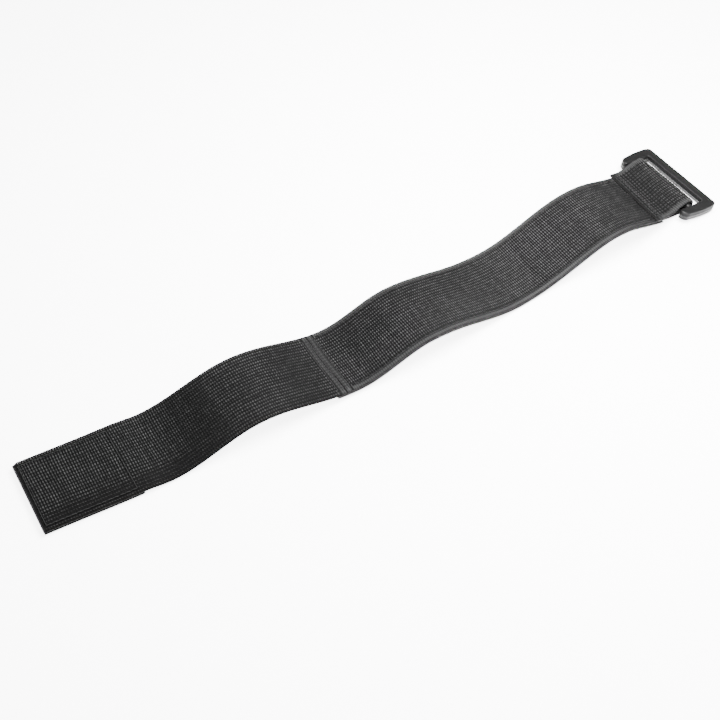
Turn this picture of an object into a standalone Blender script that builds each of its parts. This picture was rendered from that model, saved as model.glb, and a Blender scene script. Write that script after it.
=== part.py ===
"""Hook-and-loop wrist strap: woven elastic band in waves, sewn-on fastening tapes, moulded loop buckle.

Metres, +Z up, +X from the free end to the buckle, +Y to the far long edge, Z = 0 is the surface the strap lies on.
The elastic is one webbing in the real strap. Here it is three lengths that meet at two flexing lines.
"""
import math

import bmesh
import bpy
from mathutils import Matrix, Vector

MM = 0.001

# ---- clearances -------------------------------------------------------------------------------------------------
GAP = 0.3 * MM               # air between layers that are sewn or wrapped face to face
THREAD_GAP = 0.1 * MM        # air between a sewn thread and the face it lies on
REST_GAP = 0.05 * MM         # what the buckle end and the pile tape keep to the surface under them

# ---- woven elastic band -----------------------------------------------------------------------------------------
BAND_WIDTH = 38.0 * MM
BAND_THICK = 1.35 * MM
BAND_CHAMFER = 0.4 * MM
BAND_STEP = 4.0 * MM         # spacing of the cross lines along the band
FREE_END_X = -0.6 * MM

# ---- fastening tapes under the band -----------------------------------------------------------------------------
HOOK_THICK = 1.6 * MM
HOOK_WIDTH = 38.4 * MM
HOOK_END_X = 43.2 * MM
PILE_THICK = 1.2 * MM
PILE_WIDTH = 39.4 * MM
PILE_START_X = 138.0 * MM
PILE_END_X = 341.0 * MM
TAPE_CHAMFER = 0.3 * MM

# ---- moulded buckle, in its own frame: origin on the sewn-in bar's axis, +X to the outer bar, +Z its upper face --
BAR_RADIUS = 2.15 * MM
BUCKLE_THICK = 5.0 * MM
BUCKLE_HALF_WIDTH = 27.0 * MM
WINDOW_HALF_WIDTH = 21.1 * MM
ARM_BACK_X = -8.0 * MM       # rounded ends of the side arms, behind the sewn-in bar
WINDOW_END_X = 8.7 * MM      # inner edge of the outer bar
OUTER_EDGE_X = 14.1 * MM
BACK_CORNER_RADIUS = 3.6 * MM
BACK_INNER_RADIUS = 1.4 * MM
FRONT_CORNER_RADIUS = 2.2 * MM
WINDOW_CORNER_RADIUS = 0.6 * MM
ARM_BULGE = 1.6 * MM         # how far the arms' outer sides bow outwards
BULGE_CENTRE_X = 6.0 * MM
BUCKLE_BEVEL = 0.5 * MM
UNDERCUT_X = 9.7 * MM        # foot of the outer bar's inner face, which leans back below the parting line
PARTING_Z = 0.3 * MM
ARM_STEP = 2.5 * MM          # spacing of the points along the bowed arms
BAR_SIDES = 20
BAR_BURIED = 1.5 * MM        # how far the bar reaches into each arm
CUT_OVER = 1.0 * MM          # how far a cutter reaches past the faces it cuts
MERGE = 0.01 * MM            # points closer than this are one

# ---- the loop of webbing round the sewn-in bar, and the tab folded back on top of the band ----------------------
LOOP_CENTRE_RADIUS = BAR_RADIUS + GAP + BAND_THICK / 2
LOOP_X = 359.3 * MM
LOOP_Y = 7.3 * MM
LOOP_Z = REST_GAP + LOOP_CENTRE_RADIUS + BAND_THICK / 2
BUCKLE_Y = 6.6 * MM
LOOP_STEPS = 12
TAB_SEWN_X = 342.0 * MM      # where the tab meets the band
TAB_END_X = 334.5 * MM       # its cut end
TAB_SKEW = 0.10              # the cut end leans: metres along the band for each metre across it
TAB_CURVE_STEPS = 7
TAB_SEWN_STEPS = 3

# ---- how the band lies ------------------------------------------------------------------------------------------
FLAT_Z = HOOK_THICK + GAP + BAND_THICK / 2
PILE_REST_Z = REST_GAP + PILE_THICK + GAP + BAND_THICK / 2
LOOP_BOTTOM_Z = LOOP_Z - LOOP_CENTRE_RADIUS
# crests and troughs of the band's middle plane, as (x, z); half a cosine joins each to the next
WAVE = [
    (FREE_END_X, FLAT_Z),
    (HOOK_END_X, FLAT_Z),
    (56 * MM, 1.35 * MM),
    (104 * MM, 11.8 * MM),
    (149 * MM, 3.4 * MM),
    (188 * MM, 13.6 * MM),
    (249 * MM, PILE_REST_Z),
    (309 * MM, 15.7 * MM),
    (LOOP_X, LOOP_BOTTOM_Z),
]
# sideways sway of the centre line, as (x, y)
SWAY = [
    (-30 * MM, 5.2 * MM),
    (66 * MM, 0.0),
    (190 * MM, -3.2 * MM),
    (296 * MM, 2.0 * MM),
    (318 * MM, 1.5 * MM),
    (LOOP_X, LOOP_Y),
]

# ---- flexing lines, where the band bends between its stiffer, doubled lengths -----------------------------------
TAIL_FLEX_X = 52.0 * MM
MIDDLE_FLEX_X = 132.0 * MM
FLEX_GAP = 1.2 * MM

# ---- sewing -----------------------------------------------------------------------------------------------------
THREAD_RADIUS = 0.25 * MM
HOOK_SEAM_INSET = 2.2 * MM
EDGE_SEAM_INSET = 2.3 * MM
MIDDLE_SEAM_X = (139.2 * MM, 142.2 * MM, 145.4 * MM)
EDGE_SEAM_START_X = 148.0 * MM
EDGE_SEAM_END_X = 330.0 * MM
TAB_SEAM_RUN = (2.0 * MM, 5.4 * MM)   # distance of each tab seam from the cut end
SEAM_STEP = 4.0 * MM

# ---- frame: origin under the middle of the object's box ---------------------------------------------------------
ORIGIN_X = 186.48 * MM
ORIGIN_Y = 5.35 * MM


def chain(knots, x):
    """Height and slope of a chain of half-cosine spans at x."""
    if x <= knots[0][0]:
        return knots[0][1], 0.0
    for (x0, h0), (x1, h1) in zip(knots, knots[1:]):
        if x <= x1:
            t = (x - x0) / (x1 - x0)
            height = h0 + (h1 - h0) * (1 - math.cos(math.pi * t)) / 2
            slope = (h1 - h0) * math.pi * math.sin(math.pi * t) / (2 * (x1 - x0))
            return height, slope
    return knots[-1][1], 0.0


def wave_point(x, lift=0.0):
    """Point and upward normal, as (x, z) pairs, of the band's middle plane moved by lift along that normal."""
    z, slope = chain(WAVE, x)
    length = math.hypot(1.0, slope)
    nx = -slope / length
    nz = 1.0 / length
    return Vector((x + lift * nx, z + lift * nz)), Vector((nx, nz))


def world(x, z, across):
    """World position of a point on a cross line."""
    sway, _ = chain(SWAY, x)
    return Vector((x - ORIGIN_X, sway + across - ORIGIN_Y, z))


def spaced(start, end, step):
    """Evenly spaced values from start to end, about step apart, ends included."""
    count = max(1, round(abs(end - start) / step))
    return [start + (end - start) * i / count for i in range(count + 1)]


def hermite(p0, t0, p1, t1, s):
    """Cubic between two points with given end tangents."""
    a = 2 * s**3 - 3 * s**2 + 1
    b = s**3 - 2 * s**2 + s
    c = -2 * s**3 + 3 * s**2
    d = s**3 - s**2
    return p0 * a + t0 * b + p1 * c + t1 * d


def material(name, colour, roughness, metallic=0.0):
    mat = bpy.data.materials.new(name)
    mat.use_nodes = True
    shader = mat.node_tree.nodes["Principled BSDF"]
    shader.inputs["Base Color"].default_value = (*colour, 1.0)
    shader.inputs["Roughness"].default_value = roughness
    shader.inputs["Metallic"].default_value = metallic
    mat.diffuse_color = (*colour, 1.0)
    return mat


def new_object(name, mesh, mat, collection):
    obj = bpy.data.objects.new(name, mesh)
    collection.objects.link(obj)
    mesh.materials.append(mat)
    return obj


def move_origin(obj, pivot):
    """Put the object's origin on pivot without moving its shape."""
    obj.data.transform(Matrix.Translation(-pivot))
    obj.location = pivot


def bevel(obj, width, segments=1, angle=50.0):
    mod = obj.modifiers.new("Edges", "BEVEL")
    mod.width = width
    mod.segments = segments
    mod.limit_method = "ANGLE"
    mod.angle_limit = math.radians(angle)


def ribbon(name, count, place, thickness, chamfer, mat, collection):
    """A flat grid laid on place(i, side), thickened both ways and chamfered."""
    bm = bmesh.new()
    bmesh.ops.create_grid(bm, x_segments=count - 1, y_segments=1, size=1.0)
    for vert in bm.verts:
        i = round((vert.co.x + 1) / 2 * (count - 1))
        vert.co = place(i, vert.co.y)
    mesh = bpy.data.meshes.new(name)
    bm.to_mesh(mesh)
    bm.free()
    obj = new_object(name, mesh, mat, collection)
    mod = obj.modifiers.new("Thickness", "SOLIDIFY")
    mod.thickness = thickness
    mod.offset = 0.0
    mod.use_even_offset = True
    mod.use_quality_normals = True
    bevel(obj, chamfer)
    return obj


def laid_ribbon(name, x0, x1, lift, width, thickness, chamfer, mat, collection):
    """A ribbon that follows the wave from x0 to x1, lift away from the band's middle plane."""
    stations = [wave_point(x, lift)[0] for x in spaced(x0, x1, BAND_STEP)]

    def place(i, side):
        return world(stations[i].x, stations[i].y, side * width / 2)

    return ribbon(name, len(stations), place, thickness, chamfer, mat, collection)


def looped_ribbon(name, x0, mat, collection):
    """The band from x0 to the buckle, round the sewn-in bar, and back on top of itself as the tab."""
    half = BAND_WIDTH / 2
    outward = [wave_point(x)[0] for x in spaced(x0, LOOP_X, BAND_STEP)]
    centre = Vector((LOOP_X, LOOP_Z))
    turn = []
    for i in range(1, LOOP_STEPS + 1):
        angle = math.pi * i / LOOP_STEPS
        turn.append(centre + LOOP_CENTRE_RADIUS * Vector((math.sin(angle), -math.cos(angle))))
    lift = BAND_THICK + GAP
    sewn, normal = wave_point(TAB_SEWN_X, lift)
    reach = (turn[-1] - sewn).length
    leave = Vector((-1.0, 0.0)) * reach
    arrive = Vector((-normal.y, normal.x)) * reach
    back = [hermite(turn[-1], leave, sewn, arrive, i / TAB_CURVE_STEPS) for i in range(1, TAB_CURVE_STEPS + 1)]
    fixed = outward + turn + back
    count = len(fixed) + TAB_SEWN_STEPS

    def place(i, side):
        if i < len(fixed):
            point = fixed[i]
        else:
            end_x = TAB_END_X + TAB_SKEW * side * half
            share = (i - len(fixed) + 1) / TAB_SEWN_STEPS
            point, _ = wave_point(TAB_SEWN_X + (end_x - TAB_SEWN_X) * share, lift)
        return world(point.x, point.y, side * half)

    return ribbon(name, count, place, BAND_THICK, BAND_CHAMFER, mat, collection)


def thread(name, points, mat, collection, closed=False):
    """A sewn thread as a round bead through the points."""
    curve = bpy.data.curves.new(name, "CURVE")
    curve.dimensions = "3D"
    curve.bevel_depth = THREAD_RADIUS
    curve.bevel_resolution = 1
    curve.use_fill_caps = not closed
    spline = curve.splines.new("POLY")
    spline.points.add(len(points) - 1)
    for slot, point in zip(spline.points, points):
        slot.co = (*point, 1.0)
    spline.use_cyclic_u = closed
    curve.materials.append(mat)
    obj = bpy.data.objects.new(name, curve)
    collection.objects.link(obj)
    return obj


THREAD_LIFT = BAND_THICK / 2 + THREAD_GAP + THREAD_RADIUS


def cross_points(x, half, lift=THREAD_LIFT, skew=0.0):
    """Points of a thread across the band at x."""
    points = []
    for across in spaced(-half, half, SEAM_STEP):
        point, _ = wave_point(x + skew * across, lift)
        points.append(world(point.x, point.y, across))
    return points


def run_points(x0, x1, across, lift=THREAD_LIFT):
    """Points of a thread along the band at a distance across from its centre line."""
    points = []
    for x in spaced(x0, x1, SEAM_STEP):
        point, _ = wave_point(x, lift)
        points.append(world(point.x, point.y, across))
    return points


def arc(centre, radius, start, end, steps=5):
    """Points on a circular arc, angles in degrees."""
    points = []
    for i in range(steps + 1):
        angle = math.radians(start + (end - start) * i / steps)
        points.append(centre + radius * Vector((math.cos(angle), math.sin(angle))))
    return points


def arm_side(x):
    """Half width of the buckle at x: the arms' outer sides bow outwards."""
    return BUCKLE_HALF_WIDTH - ARM_BULGE * ((x - BULGE_CENTRE_X) / (BULGE_CENTRE_X - ARM_BACK_X)) ** 2


def half_outline():
    """The far half of the buckle's plan outline, from the outer bar's middle to its inner edge's middle."""
    front = arm_side(OUTER_EDGE_X)
    back = arm_side(ARM_BACK_X + BACK_CORNER_RADIUS)
    points = [Vector((OUTER_EDGE_X, 0.0))]
    corner = Vector((OUTER_EDGE_X - FRONT_CORNER_RADIUS, front - FRONT_CORNER_RADIUS))
    points += arc(corner, FRONT_CORNER_RADIUS, 0, 90)
    first = OUTER_EDGE_X - 1.5 * FRONT_CORNER_RADIUS
    last = ARM_BACK_X + 2 * BACK_CORNER_RADIUS
    for x in spaced(first, last, ARM_STEP):
        points.append(Vector((x, arm_side(x))))
    corner = Vector((ARM_BACK_X + BACK_CORNER_RADIUS, back - BACK_CORNER_RADIUS))
    points += arc(corner, BACK_CORNER_RADIUS, 90, 180)
    corner = Vector((ARM_BACK_X + BACK_INNER_RADIUS, WINDOW_HALF_WIDTH + BACK_INNER_RADIUS))
    points += arc(corner, BACK_INNER_RADIUS, 180, 270)
    corner = Vector((WINDOW_END_X - WINDOW_CORNER_RADIUS, WINDOW_HALF_WIDTH - WINDOW_CORNER_RADIUS))
    points += arc(corner, WINDOW_CORNER_RADIUS, 90, 0, 3)
    points.append(Vector((WINDOW_END_X, 0.0)))
    return points


def flat_plate(name, outline, thickness, mat, collection):
    """A plan outline with thickness, centred on Z = 0, as a mesh object."""
    curve = bpy.data.curves.new(name, "CURVE")
    curve.dimensions = "2D"
    curve.fill_mode = "BOTH"
    curve.extrude = thickness / 2
    spline = curve.splines.new("POLY")
    spline.points.add(len(outline) - 1)
    for slot, point in zip(spline.points, outline):
        slot.co = (point.x, point.y, 0.0, 1.0)
    spline.use_cyclic_u = True
    drawn = bpy.data.objects.new(name + "_outline", curve)
    collection.objects.link(drawn)
    bpy.context.view_layer.update()
    evaluated = drawn.evaluated_get(bpy.context.evaluated_depsgraph_get())
    mesh = bpy.data.meshes.new_from_object(evaluated)
    mesh.name = name
    bm = bmesh.new()
    bm.from_mesh(mesh)
    bmesh.ops.remove_doubles(bm, verts=bm.verts, dist=MERGE)
    bmesh.ops.recalc_face_normals(bm, faces=bm.faces)
    bm.to_mesh(mesh)
    bm.free()
    mesh.materials.clear()
    obj = new_object(name, mesh, mat, collection)
    obj.matrix_world = drawn.matrix_world
    bpy.data.objects.remove(drawn)
    bpy.data.curves.remove(curve)
    return obj


def undercut_wedge(name, cutters):
    """A hidden wedge that leans the outer bar's inner face back below the parting line."""
    slant = (UNDERCUT_X - WINDOW_END_X) / (PARTING_Z + BUCKLE_THICK / 2)
    low = -BUCKLE_THICK / 2 - CUT_OVER
    bm = bmesh.new()
    bmesh.ops.create_cube(bm, size=1.0)
    for vert in bm.verts:
        face_x = WINDOW_END_X if vert.co.z > 0 else WINDOW_END_X + slant * (PARTING_Z - low)
        vert.co = Vector((
            WINDOW_END_X - CUT_OVER if vert.co.x < 0 else face_x,
            math.copysign(WINDOW_HALF_WIDTH, vert.co.y),
            PARTING_Z if vert.co.z > 0 else low,
        ))
    mesh = bpy.data.meshes.new(name)
    bm.to_mesh(mesh)
    bm.free()
    return hide(name, mesh, cutters)


def hide(name, mesh, cutters):
    obj = bpy.data.objects.new(name, mesh)
    cutters.objects.link(obj)
    obj.hide_render = True
    obj.display_type = "WIRE"
    return obj


def boolean(obj, other, operation):
    mod = obj.modifiers.new(other.name, "BOOLEAN")
    mod.object = other
    mod.operation = operation
    mod.solver = "EXACT"


def make_buckle(name, mat, collection, cutters):
    """One moulding: side arms, outer bar and the round bar that the webbing is sewn round."""
    far = half_outline()
    near = [Vector((p.x, -p.y)) for p in reversed(far[1:-1])]
    buckle = flat_plate(name, far + near, BUCKLE_THICK, mat, collection)
    bevel(buckle, BUCKLE_BEVEL, 2)

    bm = bmesh.new()
    reach = WINDOW_HALF_WIDTH + BAR_BURIED
    bmesh.ops.create_cone(
        bm, cap_ends=True, segments=BAR_SIDES, radius1=BAR_RADIUS, radius2=BAR_RADIUS, depth=2 * reach,
        matrix=Matrix.Rotation(math.radians(90), 4, "X"),
    )
    mesh = bpy.data.meshes.new("sewn_in_bar")
    bm.to_mesh(mesh)
    bm.free()
    bar = hide("sewn_in_bar", mesh, cutters)

    undercut = undercut_wedge("undercut", cutters)
    boolean(buckle, bar, "UNION")
    boolean(buckle, undercut, "DIFFERENCE")

    # the outer bar's lower edge rests on the surface
    drop = LOOP_Z - REST_GAP - BUCKLE_THICK / 2
    tilt = math.asin(drop / OUTER_EDGE_X)
    pivot = bpy.data.objects.new("buckle_pivot", None)
    pivot.empty_display_size = 10 * MM
    pivot.location = (LOOP_X - ORIGIN_X, BUCKLE_Y - ORIGIN_Y, LOOP_Z)
    pivot.rotation_euler = (0.0, tilt, 0.0)
    collection.objects.link(pivot)
    for obj in (buckle, bar, undercut):
        obj.parent = pivot
    return buckle


def clear_scene():
    for obj in list(bpy.data.objects):
        bpy.data.objects.remove(obj)


def main():
    clear_scene()
    parts = bpy.data.collections.new("wrist_strap")
    cutters = bpy.data.collections.new("wrist_strap_cutters")
    bpy.context.scene.collection.children.link(parts)
    bpy.context.scene.collection.children.link(cutters)

    elastic = material("woven_elastic", (0.030, 0.030, 0.032), 0.85)
    hook = material("hook_tape", (0.012, 0.012, 0.013), 0.55)
    pile = material("pile_tape", (0.020, 0.020, 0.021), 0.95)
    plastic = material("buckle_plastic", (0.022, 0.021, 0.023), 0.32)
    cotton = material("sewing_thread", (0.040, 0.040, 0.042), 0.7)

    half_gap = FLEX_GAP / 2
    band = (0.0, BAND_WIDTH, BAND_THICK, BAND_CHAMFER, elastic, parts)
    tail = laid_ribbon("band_tail", FREE_END_X, TAIL_FLEX_X - half_gap, *band)
    middle = laid_ribbon("band_middle", TAIL_FLEX_X + half_gap, MIDDLE_FLEX_X - half_gap, *band)
    looped_ribbon("band_buckle_end", MIDDLE_FLEX_X + half_gap, elastic, parts)

    tail_line, _ = wave_point(TAIL_FLEX_X)
    middle_line, _ = wave_point(MIDDLE_FLEX_X)
    tail_pivot = world(tail_line.x, tail_line.y, 0.0)
    move_origin(tail, tail_pivot)
    move_origin(middle, world(middle_line.x, middle_line.y, 0.0))

    hook_lift = -(BAND_THICK / 2 + GAP + HOOK_THICK / 2)
    hook_patch = laid_ribbon(
        "hook_patch", FREE_END_X, HOOK_END_X, hook_lift, HOOK_WIDTH, HOOK_THICK, TAPE_CHAMFER, hook, parts
    )
    move_origin(hook_patch, tail_pivot)
    pile_lift = -(BAND_THICK / 2 + GAP + PILE_THICK / 2)
    laid_ribbon(
        "pile_tape", PILE_START_X, PILE_END_X, pile_lift, PILE_WIDTH, PILE_THICK, TAPE_CHAMFER, pile, parts
    )

    seam_half = BAND_WIDTH / 2 - EDGE_SEAM_INSET
    first = FREE_END_X + HOOK_SEAM_INSET
    last = HOOK_END_X - HOOK_SEAM_INSET
    box = cross_points(first, seam_half)
    box += run_points(first, last, seam_half)[1:]
    box += list(reversed(cross_points(last, seam_half)))[1:]
    box += list(reversed(run_points(first, last, -seam_half)))[1:-1]
    box_stitch = thread("hook_patch_box_stitch", box, cotton, parts, closed=True)
    move_origin(box_stitch, tail_pivot)
    for number, x in enumerate(MIDDLE_SEAM_X, 1):
        thread(f"middle_seam_stitch_{number}", cross_points(x, seam_half), cotton, parts)
    for side, sign in (("near", -1), ("far", 1)):
        points = run_points(EDGE_SEAM_START_X, EDGE_SEAM_END_X, sign * seam_half)
        thread(f"pile_edge_stitch_{side}", points, cotton, parts)
    tab_lift = BAND_THICK + GAP + THREAD_LIFT
    for number, run in enumerate(TAB_SEAM_RUN, 1):
        points = cross_points(TAB_END_X + run, seam_half, tab_lift, TAB_SKEW)
        thread(f"tab_seam_stitch_{number}", points, cotton, parts)

    make_buckle("loop_buckle", plastic, parts, cutters)


main()
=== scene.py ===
"""Looks of the hook-and-loop wrist strap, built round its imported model. Metres, the model's own frame."""
import math

import bmesh
import bpy
import numpy as np
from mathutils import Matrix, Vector
from mathutils.geometry import delaunay_2d_cdt


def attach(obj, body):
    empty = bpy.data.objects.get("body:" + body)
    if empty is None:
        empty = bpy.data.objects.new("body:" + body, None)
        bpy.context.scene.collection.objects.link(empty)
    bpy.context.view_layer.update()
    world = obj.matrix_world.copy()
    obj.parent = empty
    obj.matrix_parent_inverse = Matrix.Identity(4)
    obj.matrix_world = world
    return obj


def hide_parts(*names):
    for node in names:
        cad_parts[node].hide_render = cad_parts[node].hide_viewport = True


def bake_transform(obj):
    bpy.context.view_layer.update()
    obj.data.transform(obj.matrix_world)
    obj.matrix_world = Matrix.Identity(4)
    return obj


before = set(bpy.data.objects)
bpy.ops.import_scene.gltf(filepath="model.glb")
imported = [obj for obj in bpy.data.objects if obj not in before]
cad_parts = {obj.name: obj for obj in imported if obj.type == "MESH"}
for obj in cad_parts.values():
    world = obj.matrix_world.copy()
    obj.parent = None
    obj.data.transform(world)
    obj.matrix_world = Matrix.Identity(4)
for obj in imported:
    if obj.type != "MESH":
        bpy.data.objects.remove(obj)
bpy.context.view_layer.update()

MM = 0.001

# ---- the strap as it lies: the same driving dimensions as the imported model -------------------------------
ORIGIN_X = 186.48 * MM
ORIGIN_Y = 5.35 * MM
BAND_WIDTH = 38.0 * MM
HALF = BAND_WIDTH / 2
BAND_THICK = 1.35 * MM
GAP = 0.3 * MM
REST_GAP = 0.05 * MM
HOOK_THICK = 1.6 * MM
HOOK_WIDTH = 38.4 * MM
FREE_END_X = -0.6 * MM
HOOK_END_X = 43.2 * MM
PILE_THICK = 1.2 * MM
PILE_WIDTH = 39.4 * MM
PILE_START_X = 138.0 * MM
PILE_END_X = 341.0 * MM
BAR_RADIUS = 2.15 * MM
LOOP_RADIUS = BAR_RADIUS + GAP + BAND_THICK / 2
LOOP_X = 359.3 * MM
LOOP_Y = 7.3 * MM
LOOP_Z = REST_GAP + LOOP_RADIUS + BAND_THICK / 2
BUCKLE_Y = 6.6 * MM
TAB_SEWN_X = 342.0 * MM
TAB_END_X = 334.5 * MM
TAB_SKEW = 0.10
FLAT_Z = HOOK_THICK + GAP + BAND_THICK / 2
PILE_REST_Z = REST_GAP + PILE_THICK + GAP + BAND_THICK / 2
WAVE = [
    (FREE_END_X, FLAT_Z),
    (HOOK_END_X, FLAT_Z),
    (56 * MM, 1.35 * MM),
    (104 * MM, 11.8 * MM),
    (149 * MM, 3.4 * MM),
    (188 * MM, 13.6 * MM),
    (249 * MM, PILE_REST_Z),
    (309 * MM, 15.7 * MM),
    (LOOP_X, LOOP_Z - LOOP_RADIUS),
]
SWAY = [
    (-30 * MM, 5.2 * MM),
    (66 * MM, 0.0),
    (190 * MM, -3.2 * MM),
    (296 * MM, 2.0 * MM),
    (318 * MM, 1.5 * MM),
    (LOOP_X, LOOP_Y),
]
# how much further out the edge lies than the nominal half width, as (x, gain); the tab is pulled widest
SPREAD = [
    (0.0, 0.2 * MM),
    (60 * MM, 0.6 * MM),
    (88 * MM, 0.2 * MM),
    (116 * MM, 0.6 * MM),
    (150 * MM, 0.0),
    (216 * MM, -0.6 * MM),
    (244 * MM, 0.0),
    (282 * MM, 0.35 * MM),
    (320 * MM, -0.3 * MM),
    (LOOP_X, 0.6 * MM),
]
TAB_SPREAD = 0.9 * MM
LOOP_CROWN = 0.45 * MM       # the loop stands this much further out in the middle than at its sides
LOOP_SLACK = 0.95 * MM       # and hangs this much off the bar at its sides
TAB_PRESS = 0.22 * MM        # the tab's cut end is sewn down this far
CORNER_CLIP = 1.0 * MM       # the free end's far corner is clipped by this much
RIPPLE = 0.35 * MM           # slow unevenness of the unsewn edges


def chain(knots, x):
    """Height of a chain of half-cosine spans at x, which may be an array."""
    x = np.asarray(x, float)
    out = np.full(x.shape, knots[0][1])
    for (x0, h0), (x1, h1) in zip(knots, knots[1:]):
        t = np.clip((x - x0) / (x1 - x0), 0, 1)
        out = np.where(x > x0, h0 + (h1 - h0) * (1 - np.cos(np.pi * t)) / 2, out)
    return out


def smoothstep(a, b, x):
    t = np.clip((np.asarray(x, float) - a) / (b - a), 0, 1)
    return t * t * (3 - 2 * t)


# ---- the band's middle line by length: out along the wave, round the bar, back on itself -----------------
TOP_COUNT, TURN_COUNT, CURVE_COUNT = 3600, 89, 158


def band_line():
    xs = np.linspace(FREE_END_X, LOOP_X, TOP_COUNT)
    line = [np.stack([xs, chain(WAVE, xs)], -1)]
    angle = np.linspace(0, math.pi, TURN_COUNT + 1)[1:]
    turn = np.stack([LOOP_X + LOOP_RADIUS * np.sin(angle), LOOP_Z - LOOP_RADIUS * np.cos(angle)], -1)
    line.append(turn)
    back_x = np.arange(TAB_SEWN_X, TAB_END_X - 6 * MM, -0.1 * MM)
    z = chain(WAVE, back_x)
    slope = (chain(WAVE, back_x + 0.01 * MM) - chain(WAVE, back_x - 0.01 * MM)) / (0.02 * MM)
    normal = np.stack([-slope, np.ones_like(slope)], -1) / np.hypot(1, slope)[:, None]
    sewn = np.stack([back_x, z], -1) + (BAND_THICK + GAP) * normal
    start, end = turn[-1], sewn[0]
    reach = np.linalg.norm(end - start)
    leave = np.array([-1.0, 0.0]) * reach
    arrive = (sewn[1] - sewn[0]) / np.linalg.norm(sewn[1] - sewn[0]) * reach
    s = np.linspace(0, 1, CURVE_COUNT + 2)[1:-1, None]
    curve = (2 * s**3 - 3 * s**2 + 1) * start + (s**3 - 2 * s**2 + s) * leave
    curve += (3 * s**2 - 2 * s**3) * end + (s**3 - s**2) * arrive
    line += [curve, sewn]
    return np.concatenate(line)


LINE = band_line()
LINE_S = np.concatenate([[0], np.cumsum(np.linalg.norm(np.diff(LINE, axis=0), axis=1))])
TANGENT = np.gradient(LINE, LINE_S, axis=0)
for _ in range(3):
    TANGENT[1:-1] = (TANGENT[:-2] + 2 * TANGENT[1:-1] + TANGENT[2:]) / 4
TANGENT /= np.linalg.norm(TANGENT, axis=1)[:, None]
NORMAL = np.stack([-TANGENT[:, 1], TANGENT[:, 0]], -1)


def s_of(x):
    """Length along the band at x, on its way out to the buckle."""
    return float(np.interp(x, LINE[:TOP_COUNT, 0], LINE_S[:TOP_COUNT]))


S_LOOP = s_of(LOOP_X)
S_TAB_TOP = float(LINE_S[TOP_COUNT + TURN_COUNT - 1])
S_SEWN = float(LINE_S[TOP_COUNT + TURN_COUNT + CURVE_COUNT])
S_END = float(LINE_S[np.argmin(np.where(LINE_S > S_SEWN, np.abs(LINE[:, 0] - TAB_END_X), 9.0))])


def smooth_noise(a, b, seed):
    """Slow, repeatable unevenness from a few waves, about -1 to 1."""
    rng = np.random.RandomState(seed)
    total = np.zeros(np.broadcast(a, b).shape)
    for k in range(5):
        fa, fb, phase = rng.uniform(0.4, 1.6), rng.uniform(-1.4, 1.4), rng.uniform(0, 6.3)
        total = total + np.sin(6.283 * (fa * a + fb * b) + phase) * (0.5 + 0.5 / (k + 1))
    return total / 3.2


def lay(s, v, h):
    """World points at length s, distance v across and height h off the band's middle surface."""
    s, v, h = np.broadcast_arrays(np.asarray(s, float), np.asarray(v, float), np.asarray(h, float))
    clip = smoothstep(2.6 * MM, 0.2 * MM, s) * smoothstep(17.0 * MM, 19.2 * MM, v)
    on_tab = smoothstep(S_LOOP, S_TAB_TOP + 4 * MM, s)
    flat_x = np.interp(s, LINE_S, LINE[:, 0])
    gain = chain(SPREAD, flat_x) * (1 - on_tab) + TAB_SPREAD * on_tab
    ramp = smoothstep(S_TAB_TOP, S_SEWN, s)
    s = s - TAB_SKEW * v * ramp
    x = np.interp(s, LINE_S, LINE[:, 0])
    z = np.interp(s, LINE_S, LINE[:, 1])
    nx = np.interp(s, LINE_S, NORMAL[:, 0])
    nz = np.interp(s, LINE_S, NORMAL[:, 1])
    free = smoothstep(50 * MM, 75 * MM, s) * (1 - smoothstep(S_LOOP - 45 * MM, S_LOOP - 18 * MM, s))
    ripple = RIPPLE * free * (v / HALF) ** 2 * smooth_noise(s / 0.055, np.sign(v) * 0.37, 3)
    crown = (LOOP_SLACK + LOOP_CROWN * (1 - (v / HALF) ** 2)) * np.clip((x - LOOP_X) / LOOP_RADIUS, 0, 1)
    sewn_down = TAB_PRESS * smoothstep(S_END - 4 * MM, S_END - 1 * MM, s)
    across = chain(SWAY, x) + (v * (1 + gain / HALF) - CORNER_CLIP * clip)
    return np.stack([x + nx * h + crown - ORIGIN_X, across - ORIGIN_Y, z + nz * h + ripple - sewn_down], -1)


# ---- mesh helpers ----------------------------------------------------------------------------------------
def mesh_object(name, verts, faces, mat, uv, flat_faces=()):
    """A smooth-shaded object; uv is one point per vertex, and flat_faces stay flat."""
    mesh = bpy.data.meshes.new(name)
    mesh.from_pydata(np.asarray(verts, float).tolist(), [], [tuple(int(i) for i in f) for f in faces])
    mesh.update()
    flags = np.full(len(mesh.polygons), True)
    if len(flat_faces):
        flags[list(flat_faces)] = False
    mesh.polygons.foreach_set("use_smooth", flags)
    layer = mesh.uv_layers.new(name="cloth")
    index = np.empty(len(mesh.loops), int)
    mesh.loops.foreach_get("vertex_index", index)
    layer.data.foreach_set("uv", np.asarray(uv, float)[index].ravel())
    obj = bpy.data.objects.new(name, mesh)
    bpy.context.scene.collection.objects.link(obj)
    mesh.materials.append(mat)
    return obj


def ring_faces(rows, count):
    """Quads of a closed tube: rows of rings of count points, which run clockwise seen from the start."""
    i = np.arange(rows - 1)[:, None] * count
    j = np.arange(count)[None, :]
    k = (j + 1) % count
    quads = np.stack([i + j, i + k, i + count + k, i + count + j], -1).reshape(-1, 4)
    return [tuple(f) for f in quads]


def end_faces(rows, count):
    """The two flat ends of such a tube."""
    return [tuple(range(count))[::-1], tuple((rows - 1) * count + k for k in range(count))]


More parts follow.
